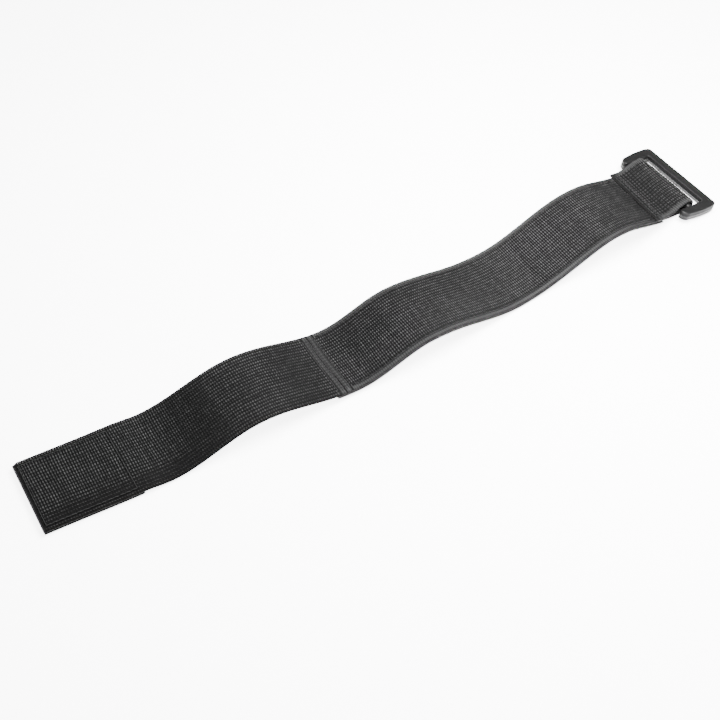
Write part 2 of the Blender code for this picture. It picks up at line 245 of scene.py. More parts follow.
def tube(points, radius, sides, up=(0.0, 0.0, 1.0)):
    """Verts and faces of a closed round tube through points; radius may vary."""
    points = np.asarray(points, float)
    n = len(points)
    radius = np.broadcast_to(np.asarray(radius, float), (n,))
    tangent = np.gradient(points, axis=0)
    tangent /= np.linalg.norm(tangent, axis=1)[:, None] + 1e-12
    guide = np.broadcast_to(np.asarray(up, float), points.shape)
    side = np.cross(guide, tangent)
    weak = np.linalg.norm(side, axis=1) < 1e-3
    side[weak] = np.cross(np.array([0.0, 1.0, 0.02]), tangent[weak])
    side /= np.linalg.norm(side, axis=1)[:, None] + 1e-12
    other = np.cross(tangent, side)
    angle = np.arange(sides) / sides * 2 * math.pi
    ring = np.cos(angle)[None, :, None] * side[:, None] + np.sin(angle)[None, :, None] * other[:, None]
    verts = (points[:, None] + ring * radius[:, None, None]).reshape(-1, 3)
    return verts, ring_faces(n, sides) + end_faces(n, sides)


def join(parts):
    """One list of verts and faces out of several."""
    verts, faces, base = [], [], 0
    for v, f in parts:
        verts.append(v)
        faces += [tuple(i + base for i in face) for face in f]
        base += len(v)
    return np.concatenate(verts), faces


def face_outward(obj):
    """Turn the mesh inside out if it encloses a negative volume."""
    bm = bmesh.new()
    bm.from_mesh(obj.data)
    if bm.calc_volume(signed=True) < 0:
        bmesh.ops.reverse_faces(bm, faces=bm.faces)
        bm.to_mesh(obj.data)
    bm.free()


# ---- materials -------------------------------------------------------------------------------------------
class Nodes:
    """Short-hand for a material's node tree."""

    def __init__(self, name):
        self.mat = bpy.data.materials.new(name)
        self.mat.use_nodes = True
        self.tree = self.mat.node_tree
        self.shader = self.tree.nodes["Principled BSDF"]

    def add(self, kind, inputs=None, **fields):
        node = self.tree.nodes.new(kind)
        for key, value in fields.items():
            setattr(node, key, value)
        for key, value in (inputs or {}).items():
            self.put(node.inputs[key], value)
        return node

    def put(self, socket, value):
        if isinstance(value, bpy.types.NodeSocket):
            self.tree.links.new(value, socket)
        else:
            socket.default_value = value

    def math(self, operation, a, b, clamp=False):
        node = self.add("ShaderNodeMath", operation=operation, use_clamp=clamp)
        self.put(node.inputs[0], a)
        self.put(node.inputs[1], b)
        return node.outputs[0]

    def noise(self, vector, scale, detail, roughness):
        node = self.add("ShaderNodeTexNoise", {"Scale": scale, "Detail": detail, "Roughness": roughness})
        self.put(node.inputs["Vector"], vector)
        return node.outputs["Fac"]

    def stretch(self, vector, scale):
        node = self.add("ShaderNodeMapping", {"Scale": scale})
        self.put(node.inputs["Vector"], vector)
        return node.outputs[0]

    def ramp(self, factor, stops):
        node = self.add("ShaderNodeValToRGB")
        elements = node.color_ramp.elements
        while len(elements) < len(stops):
            elements.new(0.5)
        for element, (place, colour) in zip(elements, stops):
            element.position = place
            element.color = (*colour, 1.0)
        self.put(node.inputs[0], factor)
        return node.outputs[0]

    def bump(self, height, strength, distance):
        node = self.add("ShaderNodeBump", {"Strength": strength, "Distance": distance})
        self.put(node.inputs["Height"], height)
        return node.outputs[0]

    def set(self, **values):
        for key, value in values.items():
            self.put(self.shader.inputs[key.replace("_", " ")], value)
        return self.mat


def grey(value):
    return (value, value, value)


def cloth_material(name, low, high, strand=(900.0, 5200.0, 1.0), sheen=0.03, roughness=0.72, gloss=0.10,
                   paint_relief_shade=False):
    """Textured nylon and polyester yarn: fine strands one way, slow colour change and stray light fibres.
    Optionally the mesh's lift attribute paints shade into the valleys of the weave and a painted highlight
    onto its crowns."""
    n = Nodes(name)
    uv = n.add("ShaderNodeTexCoord").outputs["UV"]
    strands = n.noise(n.stretch(uv, strand), 1.0, 3.0, 0.6)
    patches = n.noise(n.stretch(uv, (60.0, 60.0, 1.0)), 1.0, 3.0, 0.55)
    fibres = n.noise(n.stretch(uv, (2600.0, 1900.0, 1.0)), 1.0, 2.0, 0.7)
    mix = n.math("ADD", n.math("MULTIPLY", strands, 0.55), n.math("MULTIPLY", patches, 0.45))
    # painted shade and highlight: the lift darkens the yarn in the weave's valleys and brightens it on the
    # crowns
    if paint_relief_shade:
        crown = n.add("ShaderNodeAttribute", attribute_name="lift").outputs["Fac"]
        mix = n.math("ADD", n.math("MULTIPLY", mix, 0.5), 0.75)
        mix = n.math("MULTIPLY", n.math("POWER", crown, 2.2), mix)
        colour = n.ramp(mix, [(0.22, grey(low * 0.3)), (0.45, grey(low * 1.5)), (0.95, grey(high))])
    else:
        colour = n.ramp(mix, [(0.30, grey(low)), (0.72, grey(high))])
    bright = n.math("MULTIPLY", n.math("SUBTRACT", fibres, 0.60, clamp=True), 1.6, clamp=True)
    layer = n.add("ShaderNodeMix", data_type="RGBA")
    n.put(layer.inputs["Factor"], bright)
    n.put(layer.inputs["A"], colour)
    n.put(layer.inputs["B"], (*grey(high * 3.2), 1.0))
    height = n.math("ADD", strands, n.math("MULTIPLY", fibres, 0.5))
    normal = n.bump(height, 0.55, 0.00012)
    n.set(Base_Color=layer.outputs["Result"], Normal=normal)
    n.put(n.shader.inputs["Roughness"], n.math("ADD", n.math("MULTIPLY", strands, 0.2), roughness - 0.1))
    n.set(Sheen_Weight=sheen, Sheen_Roughness=0.45, Specular_IOR_Level=gloss)
    n.shader.inputs["Sheen Tint"].default_value = (0.85, 0.86, 0.9, 1.0)
    return n.mat


def plastic_material(name, base, roughness, gloss):
    """Black moulded plastic: fine mould grain, slow gloss change and faint handling scratches."""
    n = Nodes(name)
    place = n.add("ShaderNodeTexCoord").outputs["Object"]
    grain = n.noise(place, 5200.0, 2.0, 0.6)
    slow = n.noise(place, 90.0, 3.0, 0.6)
    scratch = n.noise(n.stretch(place, (9000.0, 260.0, 900.0)), 1.0, 2.0, 0.6)
    marks = n.math("MULTIPLY", n.math("SUBTRACT", scratch, 0.64, clamp=True), 3.0, clamp=True)
    colour = n.ramp(slow, [(0.3, grey(base * 0.85)), (0.75, grey(base * 1.35))])
    rough = n.math("ADD", n.math("MULTIPLY", slow, 0.16), roughness - 0.06)
    rough = n.math("ADD", rough, n.math("MULTIPLY", marks, 0.12))
    height = n.math("SUBTRACT", n.math("MULTIPLY", grain, 0.6), n.math("MULTIPLY", marks, 0.4))
    n.set(Base_Color=colour, Roughness=rough, Normal=n.bump(height, 0.25, 0.00006))
    n.set(IOR=1.46, Specular_IOR_Level=gloss)
    return n.mat


# the elastic's colour carries painted shade in the weave's valleys and painted highlights on its crowns
ELASTIC = cloth_material("woven_elastic_cloth", 0.0048, 0.035, sheen=0.01, paint_relief_shade=True, gloss=0.05)
PILE_CLOTH = cloth_material("pile_backing_cloth", 0.025, 0.05)
PILE_LOOPS = cloth_material("pile_loop_nylon", 0.018, 0.042, strand=(3000.0, 3000.0, 1.0), sheen=0.1)
HOOK_CLOTH = cloth_material("hook_backing_cloth", 0.002, 0.006, sheen=0.0, gloss=0.03)
HOOK_NYLON = plastic_material("hook_nylon", 0.003, 0.5, 0.08)
THREAD = cloth_material("bonded_thread", 0.008, 0.022, strand=(9000.0, 1500.0, 1.0), roughness=0.6)
# the buckle plastic, and two duller copies of it that paint shade onto the side walls and the outer bar's
# undercut
PLASTIC = plastic_material("buckle_moulding", 0.0035, 0.34, 0.22)
PLASTIC_SIDE_PAINTED_SHADE = plastic_material("buckle_moulding_side_painted_shade", 0.005, 0.42, 0.10)
PLASTIC_UNDERCUT_PAINTED_SHADE = plastic_material("buckle_moulding_undercut_painted_shade", 0.006, 0.6, 0.12)


# ---- woven elastic band ----------------------------------------------------------------------------------
RIBS = 22
RIB = BAND_WIDTH / RIBS
PICK = 1.17 * MM
BORDER = 2.3 * MM
RELIEF = 0.52 * MM           # from the valleys of the weave to its crowns
VALLEY = 0.44 * MM           # the valleys lie this far below the band's nominal face
PICKS = int(S_END / PICK)
ACROSS = np.array([0.0, 0.13, 0.32, 0.5, 0.68, 0.87])
ALONG = np.array([0.0, 0.15, 0.38, 0.62, 0.85])
BACK_ACROSS = np.array([0.0, 0.2, 0.5, 0.8])
RNG = np.random.RandomState(11)
NODE_HEIGHT = 1 + RNG.uniform(-0.10, 0.07, (PICKS + 4, RIBS))
PICK_HEIGHT = 1 + RNG.uniform(-0.05, 0.04, PICKS + 4)
RIB_HEIGHT = 1 + RNG.uniform(-0.05, 0.05, RIBS)
EDGE_LOOP = RNG.uniform(0.6, 1.0, (PICKS + 4, 2))


def pillow(f):
    """The rounded profile of one yarn, from 0 through 1 to 0 as f goes from 0 to 1."""
    power = 2.3
    return np.clip(1 - np.abs(2 * f - 1) ** power, 0, 1) ** (1 / power)


def near(values, at, width):
    """A bell that is 1 where values is at, and fades over width."""
    return np.exp(-(((values - at) / width) ** 2))


MIDDLE_SEAM_S = [s_of(x * MM) for x in (139.2, 142.2, 145.4)]
EDGE_SEAM_S = (s_of(148 * MM), s_of(330 * MM))
TAB_SEAM_S = [S_END - 2.0 * MM, S_END - 5.4 * MM]
# painted light and shade along the band, as (x, spread, change): darker on the first hump's slopes and at the
# tab's foot, lighter over the crest near 262 mm and a little at the middle seam
PAINTED_LIGHT_ALONG = [
    (75 * MM, 15 * MM, -0.17),
    (127 * MM, 11 * MM, -0.12),
    (142 * MM, 6 * MM, 0.03),
    (262 * MM, 26 * MM, 0.08),
    (326 * MM, 13 * MM, -0.14),
    (331 * MM, 3 * MM, -0.10),
]
# painted shade over the tab's last 7 mm, where it slopes down to its sewn end
TAB_FOOT_PAINTED_SHADE = -0.24
HOOK_SEAM = 2.2 * MM
HOOK_SIDE = HALF - 2.3 * MM
MIDDLE_SEAM_DIP = 0.24 * MM
EDGE_SEAM_DIP = 0.34 * MM
BOX_END_DIP = 0.10 * MM
BOX_INNER_DIP = 0.12 * MM
BOX_SIDE_DIP = 0.18 * MM
TAB_SEAM_DIP = 0.10 * MM
EDGE_SEAM_V = HALF - BORDER
S_PILE = s_of(PILE_START_X)
S_PILE_END = s_of(PILE_END_X)
S_HOOK_END = s_of(HOOK_END_X)


def weave(pick, along, rib, across, s, v):
    """Height of the woven face above its valleys as a share of the relief: crowns are 1."""
    f_along = np.sin(np.pi * along) ** 0.75
    # long open grooves run between the ribs near the free end's near edge
    open_ribs = smoothstep(-10 * MM, -12.5 * MM, v) * (1 - smoothstep(62 * MM, 78 * MM, s))
    f_across = np.sin(np.pi * across) ** (0.7 + 2.6 * open_ribs)
    size = NODE_HEIGHT[pick, rib] * PICK_HEIGHT[pick] * RIB_HEIGHT[rib]
    dotted = 0.76 + 0.16 * smoothstep(S_PILE, S_PILE + 20 * MM, s)
    body = (dotted * f_along + 1 - dotted) * f_across
    # elsewhere the ridges across the band stand out instead: on the free end's far side, on the near side
    # after the middle seam, and everywhere from the second crest on
    free_end = smoothstep(-10 * MM, -4 * MM, v) * (1 - smoothstep(60 * MM, 85 * MM, s))
    lined_part = smoothstep(8 * MM, -4 * MM, v) * smoothstep(S_PILE, S_PILE + 14 * MM, s)
    turned = np.maximum(free_end, lined_part)
    turned = turned + (1 - turned) * smoothstep(s_of(215 * MM), s_of(255 * MM), s)
    body = body * (1 - turned) + (0.50 * f_across + 0.50) * f_along * turned
    # on the tab the picks lie in twos towards its cut end, and one by one round the bar
    opened = smoothstep(S_LOOP, S_TAB_TOP, s)
    paired = np.sin(np.pi * (pick % 2 + along) / 2) ** 1.3
    drawn = smoothstep(S_TAB_TOP, S_END - 6 * MM, s)
    tab = (0.60 * f_across + 0.40) * f_along * (1 - drawn) + (0.85 * f_across + 0.15) * paired * drawn
    body = (body * (1 - opened) + tab * opened) * size
    # from the middle seam on, a plainer border runs along both edges, with fine cross picks only
    lined = smoothstep(S_PILE - 1.5 * MM, S_PILE + 1.0 * MM, s)
    border = smoothstep(EDGE_SEAM_V - 0.15 * MM, EDGE_SEAM_V + 0.25 * MM, np.abs(v)) * lined
    plain = 0.58 + 0.22 * f_along * PICK_HEIGHT[pick] + 0.08 * f_across
    # the sewn rows of the middle seam pull the cloth into flat cords between them
    seam = smoothstep(MIDDLE_SEAM_S[0] - 0.8 * MM, MIDDLE_SEAM_S[0], s)
    seam = seam * (1 - smoothstep(MIDDLE_SEAM_S[2], MIDDLE_SEAM_S[2] + 1.0 * MM, s)) * (1 - border)
    corded = 0.62 + 0.20 * f_along * f_across
    # a pressed hem inside the free end's fused edge
    hem = smoothstep(0.5 * MM, 0.9 * MM, s) * (1 - smoothstep(2.2 * MM, 3.0 * MM, s)) * (v > -HALF + 1 * MM)
    rim = 1 - smoothstep(0.4 * MM, 0.8 * MM, s) + smoothstep(S_END - 1.0 * MM, S_END - 0.6 * MM, s)
    out = body * (1 - border) + plain * border
    out = out * (1 - seam) + corded * seam
    out = out * (1 - 0.75 * hem) + (0.30 + 0.08 * f_across) * 0.75 * hem
    return out * (1 - rim) + 0.85 * rim


def seam_dip(s, v, tab_side):
    """How far sewing pulls the face in."""
    dip = np.zeros(np.broadcast(s, v).shape)
    if not tab_side:
        for at in MIDDLE_SEAM_S:
            dip = dip + MIDDLE_SEAM_DIP * near(s, at, 0.38 * MM)
        lined = smoothstep(S_PILE + 8 * MM, S_PILE + 10 * MM, s)
        lined = lined * (1 - smoothstep(S_LOOP - 30 * MM, S_LOOP - 28 * MM, s))
        dip = dip + EDGE_SEAM_DIP * near(np.abs(v), EDGE_SEAM_V, 0.36 * MM) * lined
        patch = (np.abs(v) < HOOK_SIDE + 0.4 * MM) * (s < S_HOOK_END)
        dip = dip + BOX_END_DIP * near(s, HOOK_SEAM, 0.6 * MM) * patch
        dip = dip + BOX_INNER_DIP * near(s, S_HOOK_END - HOOK_SEAM, 0.4 * MM) * patch
        inside = (s > HOOK_SEAM) * (s < S_HOOK_END - HOOK_SEAM)
        dip = dip + BOX_SIDE_DIP * near(np.abs(v), HOOK_SIDE, 0.45 * MM) * inside
    for at in TAB_SEAM_S:
        dip = dip + TAB_SEAM_DIP * near(s, at, 0.6 * MM)
    return dip


def band_section(name, first, last, back_fine=False):
    """One length of the band between two pick numbers, closed at both ends, woven on both faces."""
    picks = np.repeat(np.arange(first, last), len(ALONG))
    along = np.tile(ALONG, last - first)
    picks = np.append(picks, last)
    along = np.append(along, 0.0)
    s_row = (picks + along) * PICK
    s_row = np.minimum(s_row, S_END)
    rows = len(s_row)

    def columns(steps):
        """Rib number, place in the rib and distance across for each column of a face."""
        rib = np.repeat(np.arange(RIBS), len(steps))
        across = np.tile(steps, RIBS)
        rib = np.append(rib, RIBS - 1)
        across = np.append(across, 1.0)
        return rib, across, (rib + across) * RIB - HALF

    front = columns(ACROSS)
    back = columns(ACROSS if back_fine else BACK_ACROSS)
    P, A = picks[:, None], along[:, None]
    S = s_row[:, None]

    def wobble(S, v):
        """How far the yarns stray from straight, along and across."""
        inner = 1 - (v / HALF) ** 4
        ds = 0.45 * MM * smooth_noise(S / 0.028, v / 0.045, 5)
        ds = ds + 0.9 * MM * (v / HALF) ** 2 * smooth_noise(S / 0.07, 0.0, 8)
        ends = smoothstep(0, 6 * MM, S) * (1 - smoothstep(S_END - 8 * MM, S_END - 1 * MM, S))
        dv = 0.16 * MM * inner * smooth_noise(S / 0.02, v / 0.02, 6)
        return ds * ends, dv * ends

    def face(cols, sign):
        """Points, cloth coordinates and painted shade value (the weave's lift times the painted light and
        shade along the band) of the front (sign 1) or back (sign -1).
        """
        rib, across, v = cols
        v = v[None, :]
        lift = weave(P, A, rib[None, :], across[None, :], S, v)
        raised = RELIEF * lift
        fold = smoothstep(S_TAB_TOP - 1 * MM, S_TAB_TOP, S)
        dip = seam_dip(S, v, sign < 0) * ((1 - fold) if sign > 0 else fold)
        rolled = np.clip((np.abs(v) - (HALF - 0.5 * MM)) / (0.5 * MM), 0, 1) ** 2 * 0.16 * MM
        pressed = 0.1 * MM if sign > 0 else 1.0 * MM
        fused = 0.12 * MM * smoothstep(0.5 * MM, 0.1 * MM, S)
        fused = fused + pressed * smoothstep(S_END - 2.4 * MM, S_END, S) ** 1.5
        h = sign * (BAND_THICK / 2 - VALLEY + raised - dip - rolled - fused)
        ds, dv = wobble(S, v)
        pts = lay(S + ds, v + dv, h)
        uv = np.stack(np.broadcast_arrays(S + 0 * v, v + 0 * S), -1)
        # painted light and shade along the band, multiplied into the lift that the material paints as shade
        painted_light = 1 + TAB_FOOT_PAINTED_SHADE * smoothstep(S_END - 7 * MM, S_END, S)
        for x, spread, change in PAINTED_LIGHT_ALONG:
            painted_light = painted_light + change * near(S, s_of(x), spread)
        # seam dips lower the value, so the sewn rows get painted shade
        return pts, uv, np.clip(lift - dip / RELIEF, 0, 1.2) * painted_light + 0 * h

    def edge(side):
        """Three points round the long edge, from the front face to the back."""
        loop = EDGE_LOOP[picks, 0 if side < 0 else 1][:, None] * pillow(along)[:, None]
        turn = np.radians(np.array([45.0, 0.0, -45.0]))[None, :]
        out = (0.22 * MM + 0.20 * MM * loop) * np.cos(turn)
        h = (BAND_THICK / 2 - 0.12 * MM) * np.sin(turn)
        v = side * (HALF + out)
        ds, _ = wobble(S, side * HALF)
        pts = lay(S + ds, v, h + 0 * S)
        uv = np.stack(np.broadcast_arrays(S + 0 * v, v + 0 * S), -1)
        # the edge's value goes into the lift attribute that the material paints as shade: lower for the edge
        # yarn, a little higher past the pile tape's start
        return pts, uv, 0.32 + 0.3 * loop + 0.2 * smoothstep(S_PILE, S_PILE + 5 * MM, S) + 0 * h

    front_p, front_uv, front_l = face(front, 1)
    back_p, back_uv, back_l = face(back, -1)
    right_p, right_uv, right_l = edge(1)
    left_p, left_uv, left_l = edge(-1)
    lift = np.concatenate([front_l, right_l, back_l[:, ::-1], left_l[:, ::-1]], 1)
    ring = np.concatenate([front_p, right_p, back_p[:, ::-1], left_p[:, ::-1]], 1)
    ring_uv = np.concatenate([front_uv, right_uv, back_uv[:, ::-1], left_uv[:, ::-1]], 1)
    count = ring.shape[1]
    faces = ring_faces(rows, count) + end_faces(rows, count)
    caps = (len(faces) - 2, len(faces) - 1)
    obj = mesh_object(name, ring.reshape(-1, 3), faces, ELASTIC, ring_uv.reshape(-1, 2), caps)
    # the lift attribute holds the relief times the painted light and shade; the material paints it as shade
    # in the valleys and highlight on the crowns
    obj.data.attributes.new("lift", "FLOAT", "POINT").data.foreach_set("value", lift.ravel())
    face_outward(obj)
    return obj


# the band is cut into lengths at whole picks: between the joints, and along its last wave
CUT_A, CUT_B, CUT_C, CUT_D = [round(s_of(x * MM) / PICK) for x in (92, 175, 262, 322)]

band_a = band_section("band_free_end", 0, CUT_A)
band_b = band_section("band_middle_weave", CUT_A, CUT_B)
band_c = band_section("band_lined_weave", CUT_B, CUT_C)
band_d = band_section("band_last_wave", CUT_C, CUT_D)
band_e = band_section("band_loop_and_tab", CUT_D, PICKS, back_fine=True)


def at(x):
    return (x - ORIGIN_X, 0.0, 0.0)


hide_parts("band_tail")
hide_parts("band_middle")
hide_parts("band_buckle_end")
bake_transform(band_a)
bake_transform(band_b)
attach(band_c, "strap")
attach(band_d, "strap")
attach(band_e, "strap")


# ---- tapes under the band --------------------------------------------------------------------------------
def slab(name, s0, s1, width, low, high, mat, depth, pitch):
    """A thin tape between two heights off the band's middle surface, woven to a depth and pitch."""
    rows = max(3, int((s1 - s0) / (pitch / 2)))
    cols = int(width / (pitch / 2))
    s = np.linspace(s0, s1, rows)[:, None]
    v = np.linspace(-width / 2, width / 2, cols)[None, :]
    tex = np.abs(np.sin(np.pi * s / pitch)) * np.abs(np.sin(np.pi * v / pitch + np.pi / 4))
    thin = (high - low) * 0.35 * (smoothstep(s0 + 1.2 * MM, s0, s) + smoothstep(s1 - 1.2 * MM, s1, s))
    up = lay(s, v, high - depth * (1 - tex))
    down = lay(s, v, low + thin + depth * (1 - tex))
    ring = np.concatenate([up, down[:, ::-1]], 1)
    uv = np.stack(np.broadcast_arrays(s + 0 * v, v + 0 * s), -1)
    uv = np.concatenate([uv, uv[:, ::-1]], 1)
    count = ring.shape[1]
    faces = ring_faces(rows, count) + end_faces(rows, count)
    caps = (len(faces) - 2, len(faces) - 1)
    obj = mesh_object(name, ring.reshape(-1, 3), faces, mat, uv.reshape(-1, 2), caps)
    face_outward(obj)
    return obj


UNDER = -(BAND_THICK / 2 + GAP)
HOOK_BACK = 0.95 * MM
HOOK_ROW = 1.2 * MM
HOOK_SPACE = 1.4 * MM
HOOK_SIZE = 0.55 * MM
HOOK_RADIUS = 0.11 * MM
hook_tape = slab("hook_tape_backing", 0.1 * MM, S_HOOK_END, HOOK_WIDTH, UNDER - HOOK_BACK, UNDER + 0.15 * MM,
                 HOOK_CLOTH, 0.08 * MM, 0.8 * MM)
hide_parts("hook_patch")
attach(hook_tape, "tail")


def hooks():
    """Rows of small bent monofilament hooks standing down from the backing."""
    rng = np.random.RandomState(21)
    parts = []
    tall = HOOK_THICK - HOOK_BACK - 0.05 * MM
    for i, s in enumerate(np.arange(0.7 * MM, S_HOOK_END - 0.5 * MM, HOOK_ROW)):
        for v in np.arange(-HOOK_WIDTH / 2 + 0.5 * MM, HOOK_WIDTH / 2 - 1.0 * MM, HOOK_SPACE):
            lean = 1 if i % 2 else -1
            v0 = v + (0.75 * MM if i % 2 else 0) + rng.uniform(-0.12, 0.12) * MM
            s0 = s + rng.uniform(-0.12, 0.12) * MM
            size = tall * rng.uniform(0.88, 1.0)
            t = np.array([0.0, 0.35, 0.62, 0.8, 0.93, 1.0, 0.93, 0.74])
            reach = np.array([0.0, 0.02, 0.05, 0.12, 0.24, 0.40, 0.56, 0.64]) * HOOK_SIZE
            pts = lay(s0 + lean * reach, v0 + 0 * t, UNDER - HOOK_BACK + 0.05 * MM - t * size)
            parts.append(tube(pts, HOOK_RADIUS, 5, up=(0.0, 1.0, 0.0)))
    verts, faces = join(parts)
    uv = np.stack([verts[:, 0], verts[:, 1]], -1)
    return mesh_object("hook_field", verts, faces, HOOK_NYLON, uv)


hook_field = hooks()
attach(hook_field, "tail")

PILE_BACK = 0.5 * MM
PILE_STEP = 1.28 * MM
PILE_YARN_RADIUS = 0.07 * MM
pile_tape = slab("pile_tape_backing", S_PILE, S_PILE_END, PILE_WIDTH, UNDER - PILE_BACK, UNDER + 0.1 * MM,
                 PILE_CLOTH, 0.10 * MM, 0.9 * MM)
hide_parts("pile_tape")
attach(pile_tape, "strap")


def pile_loops():
    """Soft brushed loops in every direction under the backing."""
    rng = np.random.RandomState(33)
    parts = []
    deep = PILE_THICK - PILE_BACK - 0.08 * MM
    for s in np.arange(S_PILE + 0.8 * MM, S_PILE_END - 0.6 * MM, PILE_STEP):
        for v in np.arange(-PILE_WIDTH / 2 + 0.7 * MM, PILE_WIDTH / 2 - 0.5 * MM, PILE_STEP):
            s0, v0 = s + rng.uniform(-0.45, 0.45) * MM, v + rng.uniform(-0.45, 0.45) * MM
            turn = rng.uniform(0, 2 * math.pi)
            span, tall = rng.uniform(0.5, 1.1) * MM, deep * rng.uniform(0.6, 1.0)
            t = np.linspace(0, math.pi, 6)
            off = span * (-np.cos(t) * 0.5 + 0.25 * np.sin(t))
            h = UNDER - PILE_BACK + 0.05 * MM - tall * np.sin(t)
            pts = lay(s0 + off * math.cos(turn), v0 + off * math.sin(turn), h)
            parts.append(tube(pts, PILE_YARN_RADIUS, 3, up=(math.sin(turn), math.cos(turn), 0.1)))
    verts, faces = join(parts)
    uv = np.stack([verts[:, 0], verts[:, 1]], -1)
    return mesh_object("pile_loops", verts, faces, PILE_LOOPS, uv)


pile_field = pile_loops()
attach(pile_field, "strap")


# ---- sewing ----------------------------------------------------------------------------------------------
THREAD_RADIUS = 0.19 * MM
STITCH = 2.6 * MM
SIDES = 7
SEAM_INSET = 2.3 * MM        # the rows across the band stop this far inside its edges
BOX_SEAM_SINK = 0.10 * MM
MIDDLE_SEAM_SINK = 0.22 * MM
EDGE_SEAM_SINK = 0.20 * MM
TAB_SEAM_SINK = 0.32 * MM


def stitches(name, node, path, body, sink, sign=1.0):
    """A lockstitch row: the thread rises over each stitch and dives into the cloth at both of its ends.
    path(t) gives length and distance across for a run from 0 to 1; its total length sets the stitch count.
    sink is how deep the row is pulled in, and sign -1 puts it on the face that the fold turns up."""
    probe = np.array([path(t) for t in np.linspace(0, 1, 200)])
    total = float(np.hypot(*np.diff(probe, axis=0).T).sum())
    count = max(3, round(total / STITCH))
    t = np.linspace(0, 1, count * 8 + 1)
    sv = np.array([path(x) for x in t])
    wave = np.abs(np.sin(math.pi * count * t))
    h = sign * (BAND_THICK / 2 - 0.28 * MM - sink + 0.42 * MM * np.sqrt(wave))
    pts = lay(sv[:, 0], sv[:, 1], h)
    radius = THREAD_RADIUS * (0.8 + 0.25 * wave)
    verts, faces = tube(pts, radius, SIDES)
    uv = np.stack([np.repeat(t * total, SIDES), np.tile(np.arange(SIDES) * 0.2 * MM, len(t))], -1)
    obj = mesh_object(name, verts, faces, THREAD, uv)
    face_outward(obj)
    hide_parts(node)
    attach(obj, body)


def across_path(s):
    return lambda t: (s, (2 * t - 1) * (HALF - SEAM_INSET))


def along_path(s0, s1, v):
    return lambda t: (s0 + (s1 - s0) * t, v)


def box_path(t):
    s0, s1, side = HOOK_SEAM, S_HOOK_END - HOOK_SEAM, HOOK_SIDE
    corners = [(s0, -side), (s0, side), (s1, side), (s1, -side), (s0, -side)]
    lengths = [math.dist(a, b) for a, b in zip(corners, corners[1:])]
    run = t * sum(lengths)
    for a, b, length in zip(corners, corners[1:], lengths):
        if run <= length:
            return (a[0] + (b[0] - a[0]) * run / length, a[1] + (b[1] - a[1]) * run / length)
        run -= length
    return corners[-1]


stitches("hook_box_seam", "hook_patch_box_stitch", box_path, "tail", BOX_SEAM_SINK)
for number, s in enumerate(MIDDLE_SEAM_S, 1):
    path = across_path(s)
    stitches(f"middle_seam_{number}", f"middle_seam_stitch_{number}", path, "strap", MIDDLE_SEAM_SINK)
for side, v in (("near", -EDGE_SEAM_V), ("far", EDGE_SEAM_V)):
    path = along_path(*EDGE_SEAM_S, v)
    stitches(f"edge_seam_{side}", f"pile_edge_stitch_{side}", path, "strap", EDGE_SEAM_SINK)
for number, s in enumerate(TAB_SEAM_S, 1):
    path = across_path(s)
    stitches(f"tab_seam_{number}", f"tab_seam_stitch_{number}", path, "strap", TAB_SEAM_SINK, -1.0)

# ---- buckle: origin on the sewn-in bar's axis, +X to the outer bar, +Z its upper face --------------------
BUCKLE_THICK = 5.0 * MM
BUCKLE_HALF_WIDTH = 27.0 * MM
WINDOW_HALF_WIDTH = 21.1 * MM
ARM_BACK_X = -8.0 * MM
WINDOW_END_X = 8.7 * MM
OUTER_EDGE_X = 14.1 * MM
BACK_CORNER_RADIUS = 3.6 * MM
BACK_INNER_RADIUS = 1.4 * MM
FRONT_CORNER_RADIUS = 2.2 * MM
WINDOW_CORNER_RADIUS = 0.6 * MM
ARM_BULGE = 1.6 * MM
BULGE_CENTRE_X = 6.0 * MM
UNDERCUT = 1.0 * MM          # how far the outer bar's inner face leans back below the parting line
PARTING_Z = 0.3 * MM
EDGE_ROUND = 0.55 * MM
OUTLINE_STEP = 0.5 * MM


def arc(centre, radius, start, end, steps):
    angle = np.radians(np.linspace(start, end, steps))
    return np.stack([centre[0] + radius * np.cos(angle), centre[1] + radius * np.sin(angle)], -1)


def arm_side(x):
    """Half the buckle's width at x: the arms bulge a little."""
    return BUCKLE_HALF_WIDTH - ARM_BULGE * ((x - BULGE_CENTRE_X) / (BULGE_CENTRE_X - ARM_BACK_X)) ** 2


